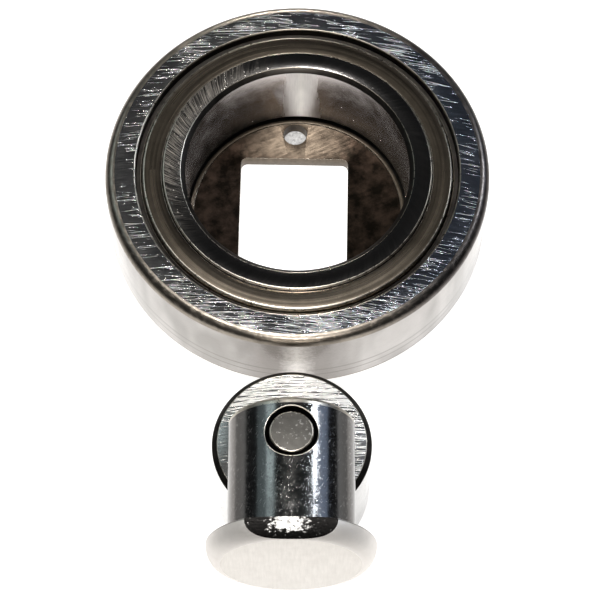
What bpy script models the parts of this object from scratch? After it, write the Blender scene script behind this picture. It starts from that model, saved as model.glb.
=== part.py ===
"""Roller cam follower set: a needle roller on a windowed end plate, and its round foot with a headed pin.

Metres, +Z up.  The origin is the middle of the set's footprint, on the surface it stands on.
The roller stands at +Y and turns about a vertical axis.  The foot stands at -Y, and the headed pin lies
across its top, held by a vertical cross pin that it can swing about.
"""

import math

import bmesh
import bpy
from mathutils import Matrix, Vector

MM = 0.001

# Driving dimensions, in millimetres.
ROLLER_RADIUS = 26.0
ROLLER_WIDTH = 13.3
ROLLER_CORNER = 1.3
ROLLER_LIFT = 1.8  # the roller runs clear of the surface, carried by the end plate
COUNTERBORE_RADIUS = 21.87
COUNTERBORE_DEPTH = 2.4
OUTER_RACE_RADIUS = 20.75
INNER_RACE_RADIUS = 18.23
BORE_RADIUS = 15.18
BORE_CHAMFER = 0.57
RING_EDGE = 0.25  # the outer ring's counterbore edges
INNER_RING_EDGE = 0.2
INNER_RING_BOTTOM = 2.2
INNER_RING_TOP = 15.2

WASHER_RADIUS = 20.98
WASHER_THICKNESS = 1.8
WASHER_RECESS = 0.4  # how far each washer lies inside the roller's end face
WASHER_BORE_GAP = 0.1
WASHER_EDGE = 0.2

SEAL_RING_INNER = 21.12
SEAL_RING_OUTER = 21.75
SEAL_RING_HEIGHT = 1.1
SEAL_RING_GAP = 0.15

NEEDLE_COUNT = 28
NEEDLE_RADIUS = 1.2
NEEDLE_LENGTH = 6.4
NEEDLE_CHAMFER = 0.25
CAGE_INNER = 18.75
CAGE_OUTER = 20.25
CAGE_HEIGHT = 8.1
POCKET_WIDTH = 2.6
POCKET_LENGTH = 6.7

PLATE_RADIUS = 20.98
PLATE_THICKNESS = 1.9
PLATE_EDGE = 0.25
PLATE_TURN = -1.0  # degrees
WINDOW_SIZE = (15.05, 17.6)
WINDOW_CENTRE_X = -0.55
WINDOW_CORNER = 0.9
SPIGOT_OUTER = 14.95
SPIGOT_INNER = 14.45
SPIGOT_HEIGHT = 0.3
OIL_HOLE_RADIUS = 1.65
OIL_HOLE_Y = 12.7

FOOT_RADIUS = 10.3
FOOT_HEIGHT = 15.2
FOOT_CHAMFER = 0.65
FOOT_BASE_CHAMFER = 0.35
FOOT_OFFSET_X = -0.6
FOOT_FROM_ROLLER = 40.27  # from the roller's axis to the foot's

PIN_RADIUS = 7.91
PIN_REST_GAP = 0.3  # between the lying pin and the foot's top
PIN_END_FROM_FOOT = 0.5  # the pin's plain end lies this far in front of the foot's axis
PIN_LENGTH = 19.15
PIN_END_CHAMFER = 0.5
NECK_START = 15.85  # distances along the pin, from its plain end
HEAD_BACK = 16.25
RIM_START = 16.55
RIM_END = 16.65
SHOULDER_RADIUS = 8.35
RIM_RADIUS = 10.54
FACE_RADIUS = 8.7
HEAD_FLAT = 8.9  # the flat on top of the head lies this far above the pin's axis

CROSS_HOLE_RADIUS = 3.26
CROSS_HOLE_CHAMFER = 0.3
CROSS_HOLE_FLARE = 1.0  # how far below the crown the chamfer's cone starts
CROSS_HOLE_FROM_END = 4.59
CROSS_PIN_RADIUS = 2.73
CROSS_PIN_CHAMFER = 0.25
CROSS_PIN_SINK = 8.0  # how deep the cross pin goes into the foot
CROSS_PIN_FIT_GAP = 0.08
CROSS_PIN_TIP_GAP = 0.3
CROSS_PIN_BELOW_CROWN = 0.35

RING_STEPS = 64
PIN_STEPS = 48
HOLE_STEPS = 32
NEEDLE_STEPS = 12
CROSS_PIN_STEPS = 24
SMOOTH_ANGLE = math.radians(35)
CUTTER_MARGIN = 1.0  # how far a cutter stands out of what it cuts

SET_LENGTH = ROLLER_RADIUS + FOOT_FROM_ROLLER + PIN_END_FROM_FOOT + PIN_LENGTH
ROLLER_Y = SET_LENGTH / 2 - ROLLER_RADIUS
FOOT_Y = ROLLER_Y - FOOT_FROM_ROLLER
PIN_END_Y = FOOT_Y - PIN_END_FROM_FOOT
PIN_AXIS_Z = FOOT_HEIGHT + PIN_REST_GAP + PIN_RADIUS
CROSS_PIN_Y = PIN_END_Y - CROSS_HOLE_FROM_END
ROLLER_TOP = ROLLER_LIFT + ROLLER_WIDTH
ROLLER_MIDDLE = ROLLER_LIFT + ROLLER_WIDTH / 2
PITCH_RADIUS = (OUTER_RACE_RADIUS + INNER_RACE_RADIUS) / 2


def clear_scene():
    for obj in list(bpy.data.objects):
        bpy.data.objects.remove(obj, do_unlink=True)


def collection(name):
    group = bpy.data.collections.new(name)
    bpy.context.scene.collection.children.link(group)
    return group


def steel(name, colour, roughness):
    material = bpy.data.materials.new(name)
    material.use_nodes = True
    shader = material.node_tree.nodes["Principled BSDF"]
    shader.inputs["Base Color"].default_value = (*colour, 1.0)
    shader.inputs["Metallic"].default_value = 1.0
    shader.inputs["Roughness"].default_value = roughness
    return material


def place(mesh, name, group, location, material):
    """Make an object of a mesh, at a place given in millimetres."""
    obj = bpy.data.objects.new(name, mesh)
    obj.location = Vector(location) * MM
    group.objects.link(obj)
    if material:
        mesh.materials.append(material)
    return obj


def arc(centre, radius, start, end, steps):
    """Points along an arc in the plane of radius and height, angles in degrees."""
    angles = [math.radians(start + (end - start) * i / steps) for i in range(steps + 1)]
    return [(centre[0] + radius * math.cos(a), centre[1] + radius * math.sin(a)) for a in angles]


def turned(name, profile, steps, group, location, material, closed=True):
    """Turn a profile of (radius, height) points, in millimetres, about the object's Z axis.

    A closed profile makes a ring.  An open one starts and ends on the axis and makes a solid.
    It runs down the outer side, top to bottom.
    """
    mesh = bpy.data.meshes.new(name)
    shape = bmesh.new()
    verts = [shape.verts.new((r * MM, 0, z * MM)) for r, z in profile]
    for a, b in zip(verts, verts[1:]):
        shape.edges.new((a, b))
    if closed:
        shape.edges.new((verts[-1], verts[0]))
    shape.to_mesh(mesh)
    shape.free()
    obj = place(mesh, name, group, location, material)
    screw = obj.modifiers.new("Turn", "SCREW")
    screw.axis = "Z"
    screw.steps = steps
    screw.render_steps = steps
    screw.use_merge_vertices = True
    screw.merge_threshold = 1e-6
    screw.use_smooth_shade = False
    return obj


def cut(obj, cutter, name):
    boolean = obj.modifiers.new(name, "BOOLEAN")
    boolean.operation = "DIFFERENCE"
    boolean.solver = "EXACT"
    boolean.object = cutter


def as_cutter(obj):
    obj.hide_render = True
    obj.display_type = "WIRE"
    return obj


def outer_ring(group, material):
    """The roller's tyre: a rounded rim, a counterbore at each end and a race between them."""
    top, bottom, corner, edge = ROLLER_TOP, ROLLER_LIFT, ROLLER_CORNER, RING_EDGE
    outer = ROLLER_RADIUS - corner
    profile = [(COUNTERBORE_RADIUS + edge, top)]
    profile += arc((outer, top - corner), corner, 90, 0, 4)
    profile += arc((outer, bottom + corner), corner, 0, -90, 4)
    profile += [
        (COUNTERBORE_RADIUS + edge, bottom),
        (COUNTERBORE_RADIUS, bottom + edge),
        (COUNTERBORE_RADIUS, bottom + COUNTERBORE_DEPTH),
        (OUTER_RACE_RADIUS, bottom + COUNTERBORE_DEPTH),
        (OUTER_RACE_RADIUS, top - COUNTERBORE_DEPTH),
        (COUNTERBORE_RADIUS, top - COUNTERBORE_DEPTH),
        (COUNTERBORE_RADIUS, top - edge),
    ]
    return turned("outer_ring", profile, RING_STEPS, group, (0, ROLLER_Y, 0), material)


def inner_ring(group, material):
    top, bottom = INNER_RING_TOP, INNER_RING_BOTTOM
    chamfer, edge = BORE_CHAMFER, INNER_RING_EDGE
    profile = [
        (BORE_RADIUS + chamfer, top),
        (INNER_RACE_RADIUS - edge, top),
        (INNER_RACE_RADIUS, top - edge),
        (INNER_RACE_RADIUS, bottom + edge),
        (INNER_RACE_RADIUS - edge, bottom),
        (BORE_RADIUS + chamfer, bottom),
        (BORE_RADIUS, bottom + chamfer),
        (BORE_RADIUS, top - chamfer),
    ]
    return turned("inner_ring", profile, RING_STEPS, group, (0, ROLLER_Y, 0), material)


def side_washer(name, bottom, group, material):
    edge = WASHER_EDGE
    inner = INNER_RACE_RADIUS + WASHER_BORE_GAP
    profile = [
        (inner, bottom + WASHER_THICKNESS),
        (WASHER_RADIUS - edge, bottom + WASHER_THICKNESS),
        (WASHER_RADIUS, bottom + WASHER_THICKNESS - edge),
        (WASHER_RADIUS, bottom + edge),
        (WASHER_RADIUS - edge, bottom),
        (inner, bottom),
    ]
    return turned(name, profile, RING_STEPS, group, (0, ROLLER_Y, 0), material)


def seal_ring(name, bottom, group, material):
    profile = [
        (SEAL_RING_INNER, bottom + SEAL_RING_HEIGHT),
        (SEAL_RING_OUTER, bottom + SEAL_RING_HEIGHT),
        (SEAL_RING_OUTER, bottom),
        (SEAL_RING_INNER, bottom),
    ]
    return turned(name, profile, RING_STEPS, group, (0, ROLLER_Y, 0), material)


def needle_angles():
    return [2 * math.pi * (i + 0.5) / NEEDLE_COUNT for i in range(NEEDLE_COUNT)]


def pocket_cutters(group):
    """One mesh of separate boxes, a pocket for each needle."""
    mesh = bpy.data.meshes.new("cage_pockets")
    shape = bmesh.new()
    depth = 2 * (CAGE_OUTER - CAGE_INNER)
    size = Matrix.Diagonal((depth * MM, POCKET_WIDTH * MM, POCKET_LENGTH * MM, 1))
    out = Matrix.Translation((PITCH_RADIUS * MM, 0, 0))
    for angle in needle_angles():
        bmesh.ops.create_cube(shape, size=1, matrix=Matrix.Rotation(angle, 4, "Z") @ out @ size)
    shape.to_mesh(mesh)
    shape.free()
    return as_cutter(place(mesh, "cage_pockets", group, (0, ROLLER_Y, ROLLER_MIDDLE), None))


def needle_cage(group, cutters, material):
    top, bottom = CAGE_HEIGHT / 2, -CAGE_HEIGHT / 2
    profile = [(CAGE_INNER, top), (CAGE_OUTER, top), (CAGE_OUTER, bottom), (CAGE_INNER, bottom)]
    cage = turned(
        "needle_cage", profile, 2 * NEEDLE_COUNT, group, (0, ROLLER_Y, ROLLER_MIDDLE), material
    )
    cut(cage, pocket_cutters(cutters), "Pockets")
    return cage


def needles(group, material):
    """Each needle stands on its own axis, on the pitch circle."""
    half = NEEDLE_LENGTH / 2
    profile = [
        (0, half),
        (NEEDLE_RADIUS - NEEDLE_CHAMFER, half),
        (NEEDLE_RADIUS, half - NEEDLE_CHAMFER),
        (NEEDLE_RADIUS, NEEDLE_CHAMFER - half),
        (NEEDLE_RADIUS - NEEDLE_CHAMFER, -half),
        (0, -half),
    ]
    for number, angle in enumerate(needle_angles(), start=1):
        x = PITCH_RADIUS * math.cos(angle)
        y = ROLLER_Y + PITCH_RADIUS * math.sin(angle)
        name = f"needle_{number:02d}"
        turned(name, profile, NEEDLE_STEPS, group, (x, y, ROLLER_MIDDLE), material, closed=False)


def window_cutter(group):
    """A rectangle with rounded corners, taller than the plate."""
    half_x, half_y = WINDOW_SIZE[0] / 2 - WINDOW_CORNER, WINDOW_SIZE[1] / 2 - WINDOW_CORNER
    corners = [(half_x, half_y, 0), (-half_x, half_y, 90), (-half_x, -half_y, 180), (half_x, -half_y, 270)]
    outline = []
    for x, y, start in corners:
        outline += arc((x + WINDOW_CENTRE_X, y), WINDOW_CORNER, start, start + 90, 4)
    mesh = bpy.data.meshes.new("window")
    shape = bmesh.new()
    base = shape.faces.new([shape.verts.new((x * MM, y * MM, -CUTTER_MARGIN * MM)) for x, y in outline])
    rise = bmesh.ops.extrude_face_region(shape, geom=[base])
    lifted = [item for item in rise["geom"] if isinstance(item, bmesh.types.BMVert)]
    bmesh.ops.translate(shape, vec=(0, 0, (PLATE_THICKNESS + 2 * CUTTER_MARGIN) * MM), verts=lifted)
    bmesh.ops.recalc_face_normals(shape, faces=shape.faces)
    shape.to_mesh(mesh)
    shape.free()
    window = as_cutter(place(mesh, "window", group, (0, ROLLER_Y, 0), None))
    window.rotation_euler.z = math.radians(PLATE_TURN)
    return window


def round_cutter(name, radius, bottom, top, x, y, group):
    profile = [(0, top), (radius, top), (radius, bottom), (0, bottom)]
    return as_cutter(turned(name, profile, HOLE_STEPS, group, (x, y, 0), None, closed=False))


def end_plate(group, cutters, material):
    """The plate under the roller.  Its low spigot centres it in the inner ring's bore."""
    top, edge = PLATE_THICKNESS, PLATE_EDGE
    profile = [
        (0, top),
        (SPIGOT_INNER, top),
        (SPIGOT_INNER, top + SPIGOT_HEIGHT),
        (SPIGOT_OUTER, top + SPIGOT_HEIGHT),
        (SPIGOT_OUTER, top),
        (PLATE_RADIUS - edge, top),
        (PLATE_RADIUS, top - edge),
        (PLATE_RADIUS, edge),
        (PLATE_RADIUS - edge, 0),
        (0, 0),
    ]
    plate = turned(
        "end_plate", profile, RING_STEPS, group, (0, ROLLER_Y, 0), material, closed=False
    )
    turn = math.radians(PLATE_TURN)
    hole_x, hole_y = -OIL_HOLE_Y * math.sin(turn) + WINDOW_CENTRE_X, OIL_HOLE_Y * math.cos(turn)
    hole = round_cutter("oil_hole", OIL_HOLE_RADIUS, -CUTTER_MARGIN, top + CUTTER_MARGIN, hole_x, ROLLER_Y + hole_y, cutters)
    cut(plate, window_cutter(cutters), "Window")
    cut(plate, hole, "Oil hole")
    return plate


def foot(group, cutters, material):
    """The round foot, with a blind hole in its top for the cross pin."""
    profile = [
        (0, FOOT_HEIGHT),
        (FOOT_RADIUS - FOOT_CHAMFER, FOOT_HEIGHT),
        (FOOT_RADIUS, FOOT_HEIGHT - FOOT_CHAMFER),
        (FOOT_RADIUS, FOOT_BASE_CHAMFER),
        (FOOT_RADIUS - FOOT_BASE_CHAMFER, 0),
        (0, 0),
    ]
    body = turned(
        "foot_cylinder", profile, RING_STEPS, group, (FOOT_OFFSET_X, FOOT_Y, 0), material, closed=False
    )
    hole = round_cutter(
        "cross_pin_socket",
        CROSS_PIN_RADIUS + CROSS_PIN_FIT_GAP,
        FOOT_HEIGHT - CROSS_PIN_SINK,
        FOOT_HEIGHT + CUTTER_MARGIN,
        FOOT_OFFSET_X,
        CROSS_PIN_Y,
        cutters,
    )
    cut(body, hole, "Cross pin socket")
    return body


def headed_pin_profile():
    """Radius against distance along the pin, from the head's face back to the plain end."""
    face, rim = PIN_LENGTH, RIM_RADIUS
    profile = [(0, face), (FACE_RADIUS, face)]
    front = face - RIM_END
    for step in range(1, 6):
        angle = math.radians(90 * (1 - step / 6))
        profile.append(
            (FACE_RADIUS + (rim - FACE_RADIUS) * math.cos(angle), RIM_END + front * math.sin(angle))
        )
    profile += [(rim, RIM_END), (rim, RIM_START)]
    shoulder = SHOULDER_RADIUS
    for step in range(1, 4):
        angle = math.radians(90 * step / 3)
        profile.append(
            (
                shoulder + (rim - shoulder) * math.cos(angle),
                RIM_START - (RIM_START - HEAD_BACK) * math.sin(angle),
            )
        )
    for step in range(1, 4):
        angle = math.radians(90 * step / 3)
        profile.append(
            (
                shoulder - (shoulder - PIN_RADIUS) * math.sin(angle),
                HEAD_BACK - (HEAD_BACK - NECK_START) * (1 - math.cos(angle)),
            )
        )
    profile += [(PIN_RADIUS, PIN_END_CHAMFER), (PIN_RADIUS - PIN_END_CHAMFER, 0), (0, 0)]
    return profile


def cross_hole_cutter(group):
    """The hole through the pin, opened by a chamfer at the crown."""
    crown = PIN_AXIS_Z + PIN_RADIUS
    low = PIN_AXIS_Z - PIN_RADIUS - CUTTER_MARGIN
    flare = CROSS_HOLE_RADIUS + CROSS_HOLE_CHAMFER
    mouth = crown - CROSS_HOLE_FLARE
    profile = [
        (0, crown + CUTTER_MARGIN),
        (flare + CUTTER_MARGIN, crown + CUTTER_MARGIN),
        (CROSS_HOLE_RADIUS, mouth),
        (CROSS_HOLE_RADIUS, low),
        (0, low),
    ]
    location = (FOOT_OFFSET_X, CROSS_PIN_Y, 0)
    return as_cutter(turned("cross_hole", profile, HOLE_STEPS, group, location, None, closed=False))


def head_flat_cutter(group):
    """A box over the pin that takes the top off the head alone."""
    mesh = bpy.data.meshes.new("head_flat")
    shape = bmesh.new()
    height = RIM_RADIUS - HEAD_FLAT + CUTTER_MARGIN
    size = (2 * RIM_RADIUS + 2 * CUTTER_MARGIN, PIN_LENGTH + 2 * CUTTER_MARGIN, height)
    bmesh.ops.create_cube(shape, size=1, matrix=Matrix.Diagonal((*[side * MM for side in size], 1)))
    shape.to_mesh(mesh)
    shape.free()
    middle = (FOOT_OFFSET_X, PIN_END_Y - PIN_LENGTH / 2, PIN_AXIS_Z + HEAD_FLAT + height / 2)
    return as_cutter(place(mesh, "head_flat", group, middle, None))


def headed_pin(group, cutters, material):
    location = (FOOT_OFFSET_X, PIN_END_Y, PIN_AXIS_Z)
    pin = turned(
        "headed_pin", headed_pin_profile(), PIN_STEPS, group, location, material, closed=False
    )
    pin.rotation_euler.x = math.pi / 2
    cut(pin, cross_hole_cutter(cutters), "Cross hole")
    cut(pin, head_flat_cutter(cutters), "Head flat")
    return pin


def cross_pin(group, material):
    top = PIN_AXIS_Z + PIN_RADIUS - CROSS_PIN_BELOW_CROWN
    bottom = FOOT_HEIGHT - CROSS_PIN_SINK + CROSS_PIN_TIP_GAP
    edge = CROSS_PIN_CHAMFER
    profile = [
        (0, top),
        (CROSS_PIN_RADIUS - edge, top),
        (CROSS_PIN_RADIUS, top - edge),
        (CROSS_PIN_RADIUS, bottom + edge),
        (CROSS_PIN_RADIUS - edge, bottom),
        (0, bottom),
    ]
    location = (FOOT_OFFSET_X, CROSS_PIN_Y, 0)
    return turned("cross_pin", profile, CROSS_PIN_STEPS, group, location, material, closed=False)


def smooth_round_sides(group):
    """Give each part its finished mesh, smooth on its round sides and sharp at its edges."""
    graph = bpy.context.evaluated_depsgraph_get()
    finished = {obj: bpy.data.meshes.new_from_object(obj.evaluated_get(graph)) for obj in group.objects}
    for obj, mesh in finished.items():
        obj.modifiers.clear()
        obj.data = mesh
        mesh.name = obj.name
        mesh.shade_smooth()
        mesh.set_sharp_from_angle(angle=SMOOTH_ANGLE)


def build():
    clear_scene()
    parts = collection("roller_cam_follower")
    cutters = collection("cutters")
    ground = steel("ground_steel", (0.42, 0.42, 0.43), 0.3)
    polished = steel("polished_steel", (0.62, 0.62, 0.64), 0.12)
    washer_steel = steel("washer_steel", (0.33, 0.29, 0.25), 0.5)
    dark = steel("dark_steel", (0.16, 0.13, 0.11), 0.55)
    dull = steel("dull_steel", (0.3, 0.3, 0.31), 0.5)

    outer_ring(parts, ground)
    inner_ring(parts, ground)
    low_washer = ROLLER_LIFT + WASHER_RECESS
    high_washer = ROLLER_TOP - WASHER_RECESS - WASHER_THICKNESS
    side_washer("lower_side_washer", low_washer, parts, washer_steel)
    side_washer("upper_side_washer", high_washer, parts, washer_steel)
    low_seal = ROLLER_LIFT + COUNTERBORE_DEPTH - SEAL_RING_GAP - SEAL_RING_HEIGHT
    high_seal = ROLLER_TOP - COUNTERBORE_DEPTH + SEAL_RING_GAP
    seal_ring("lower_seal_ring", low_seal, parts, polished)
    seal_ring("upper_seal_ring", high_seal, parts, polished)
    needle_cage(parts, cutters, dull)
    needles(parts, polished)
    end_plate(parts, cutters, dark)
    foot(parts, cutters, polished)
    headed_pin(parts, cutters, polished)
    cross_pin(parts, dull)
    smooth_round_sides(parts)


build()
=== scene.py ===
"""Looks of the roller cam follower set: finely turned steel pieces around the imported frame."""

import math

import bmesh
import bpy
from mathutils import Matrix, Vector


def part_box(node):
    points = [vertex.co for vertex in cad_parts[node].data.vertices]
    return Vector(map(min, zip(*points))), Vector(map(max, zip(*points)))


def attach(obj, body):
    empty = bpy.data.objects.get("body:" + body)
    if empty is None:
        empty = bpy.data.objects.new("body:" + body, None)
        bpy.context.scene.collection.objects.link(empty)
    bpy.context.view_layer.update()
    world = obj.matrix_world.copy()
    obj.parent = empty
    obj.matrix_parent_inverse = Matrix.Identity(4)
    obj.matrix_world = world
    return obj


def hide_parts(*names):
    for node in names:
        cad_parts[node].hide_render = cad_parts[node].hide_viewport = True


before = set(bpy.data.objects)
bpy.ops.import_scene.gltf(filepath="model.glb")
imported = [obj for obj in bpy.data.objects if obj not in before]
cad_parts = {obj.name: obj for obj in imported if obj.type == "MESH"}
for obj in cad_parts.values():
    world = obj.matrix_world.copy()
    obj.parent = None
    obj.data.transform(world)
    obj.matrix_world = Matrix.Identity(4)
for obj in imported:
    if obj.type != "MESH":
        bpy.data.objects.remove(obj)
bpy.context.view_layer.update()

MM = 0.001


# ---------------------------------------------------------------- places, from the frame

def centre_of(node):
    low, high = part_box(node)
    return (low + high) / 2 / MM


def span_of(node):
    """Lowest and highest z of a node, in millimetres."""
    low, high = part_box(node)
    return low.z / MM, high.z / MM


def radius_of(node):
    low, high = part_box(node)
    return (high.x - low.x) / 2 / MM


ROLLER = centre_of("outer_ring")
ROLLER_AXIS = (0.0, ROLLER.y)
ROLLER_RADIUS = radius_of("outer_ring")
ROLLER_LOW, ROLLER_TOP = span_of("outer_ring")
INNER_LOW, INNER_TOP = span_of("inner_ring")
FOOT = centre_of("foot_cylinder")
FOOT_AXIS = (FOOT.x, FOOT.y)
FOOT_RADIUS = radius_of("foot_cylinder")
FOOT_TOP = span_of("foot_cylinder")[1]
CROSS = centre_of("cross_pin")
PIN_LOW, PIN_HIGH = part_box("headed_pin")
PIN_LENGTH = (PIN_HIGH.y - PIN_LOW.y) / MM
PIN_END_Y = PIN_HIGH.y / MM
HEAD_FACE_Y = PIN_END_Y - PIN_LENGTH
HEAD_RADIUS = (PIN_HIGH.x - PIN_LOW.x) / 2 / MM
PIN_AXIS_Z = PIN_LOW.z / MM + HEAD_RADIUS
HEAD_TOP = PIN_HIGH.z / MM  # the flat on top of the head

# Sizes inside those boxes, in millimetres, as the CAD has them.
CORNER = 1.3
COUNTERBORE_RADIUS = 21.87
COUNTERBORE_DEPTH = 2.4
OUTER_RACE_RADIUS = 20.75
INNER_RACE_RADIUS = 18.23
BORE_RADIUS = 15.18
BORE_CHAMFER = 0.57
WASHER_BORE = 18.33
SEAL_INNER = 21.12
PLATE_TURN = math.radians(-1.0)
WINDOW_SIZE = (15.05, 17.6)
WINDOW_CENTRE_X = -0.55
WINDOW_CORNER = 0.9
SPIGOT_OUTER = 14.95
SPIGOT_INNER = 14.45
SPIGOT_HEIGHT = 0.3
OIL_HOLE_RADIUS = 1.65
OIL_HOLE_Y = 12.7
SHANK_RADIUS = 7.91
FACE_RADIUS = 8.7
NECK_START = 15.85
HEAD_BACK = 16.25
RIM_START = 16.55
RIM_END = 16.65
SHOULDER_RADIUS = 8.35
CROSS_HOLE_RADIUS = 3.26
CROSS_HOLE_LIP = 0.16
CROSS_PIN_RADIUS = 2.73
SOCKET_RADIUS = 2.81
SOCKET_DEPTH = 8.0

AROUND = 288  # steps round a large ring


# ---------------------------------------------------------------- mesh helpers

def arc(centre, radius, start, end, steps):
    """Points (radius, height) along an arc, angles in degrees."""
    angles = [math.radians(start + (end - start) * i / steps) for i in range(steps + 1)]
    return [(centre[0] + radius * math.cos(a), centre[1] + radius * math.sin(a)) for a in angles]


def new_object(name, mesh, body, node):
    """An object that moves with a body and takes the place of one CAD node."""
    obj = bpy.data.objects.new(name, mesh)
    bpy.context.scene.collection.objects.link(obj)
    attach(obj, body)
    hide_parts(node)
    return obj


def shaded(mesh):
    mesh.shade_smooth()
    mesh.set_sharp_from_angle(angle=math.radians(32))
    return mesh


def lathe(name, sections, axis, steps, materials, closed=True, place=None):
    """Turn sections of an outline about a vertical axis.

    Each section is (material name, points), the points as (radius, height) in millimetres.  Sections
    join end to end.  The outline runs down its outer side.  A piece that doesn't stand on a vertical axis
    is turned about the origin's, and place is the matrix that then moves it.
    """
    names = []
    for material, _ in sections:
        if material not in names:
            names.append(material)
    shape = bmesh.new()
    outline, owners = [], []
    for material, points in sections:
        for point in points:
            if outline and math.dist(outline[-1], point) < 1e-6:
                continue
            if outline:
                owners.append(names.index(material))
            outline.append(point)
    if closed and math.dist(outline[-1], outline[0]) < 1e-6:
        outline.pop()
    elif closed:
        owners.append(names.index(sections[-1][0]))
    rings = []
    for r, z in outline:
        if r < 1e-6:
            rings.append([shape.verts.new((0, 0, z * MM))])
            continue
        angles = [2 * math.pi * i / steps for i in range(steps)]
        rings.append([shape.verts.new((r * MM * math.cos(a), r * MM * math.sin(a), z * MM)) for a in angles])
    count = len(rings)
    for index, owner in enumerate(owners):
        upper, lower = rings[index], rings[(index + 1) % count]
        for i in range(steps):
            j = (i + 1) % steps
            corners = [(upper, i), (lower, i), (lower, j), (upper, j)]
            corners = [ring[k % len(ring)] for ring, k in corners]
            face = shape.faces.new(list(dict.fromkeys(corners)))
            face.material_index = owner
    place = place or Matrix.Translation((axis[0] * MM, axis[1] * MM, 0))
    bmesh.ops.transform(shape, matrix=place, verts=shape.verts)
    mesh = bpy.data.meshes.new(name)
    shape.to_mesh(mesh)
    shape.free()
    for material in names:
        mesh.materials.append(materials[material])
    return shaded(mesh)


def apply_modifiers(obj):
    graph = bpy.context.evaluated_depsgraph_get()
    mesh = bpy.data.meshes.new_from_object(obj.evaluated_get(graph))
    obj.modifiers.clear()
    obj.data = mesh
    return mesh


def cut(obj, mesh):
    """Cut a closed mesh out of an object, for good."""
    cutter = bpy.data.objects.new("cutter", mesh)
    bpy.context.scene.collection.objects.link(cutter)
    boolean = obj.modifiers.new("Cut", "BOOLEAN")
    boolean.operation = "DIFFERENCE"
    boolean.solver = "EXACT"
    boolean.object = cutter
    result = apply_modifiers(obj)
    bpy.data.objects.remove(cutter)
    return result


def prism(outline, low, high):
    """A closed solid over an outline of (x, y) points in millimetres."""
    shape = bmesh.new()
    base = shape.faces.new([shape.verts.new((x * MM, y * MM, low * MM)) for x, y in outline])
    rise = bmesh.ops.extrude_face_region(shape, geom=[base])
    lifted = [item for item in rise["geom"] if isinstance(item, bmesh.types.BMVert)]
    bmesh.ops.translate(shape, vec=(0, 0, (high - low) * MM), verts=lifted)
    bmesh.ops.recalc_face_normals(shape, faces=shape.faces)
    mesh = bpy.data.meshes.new("prism")
    shape.to_mesh(mesh)
    shape.free()
    return mesh


def circle(x, y, radius, steps):
    angles = [2 * math.pi * i / steps for i in range(steps)]
    return [(x + radius * math.cos(a), y + radius * math.sin(a)) for a in angles]


# ---------------------------------------------------------------- material helpers

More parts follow.
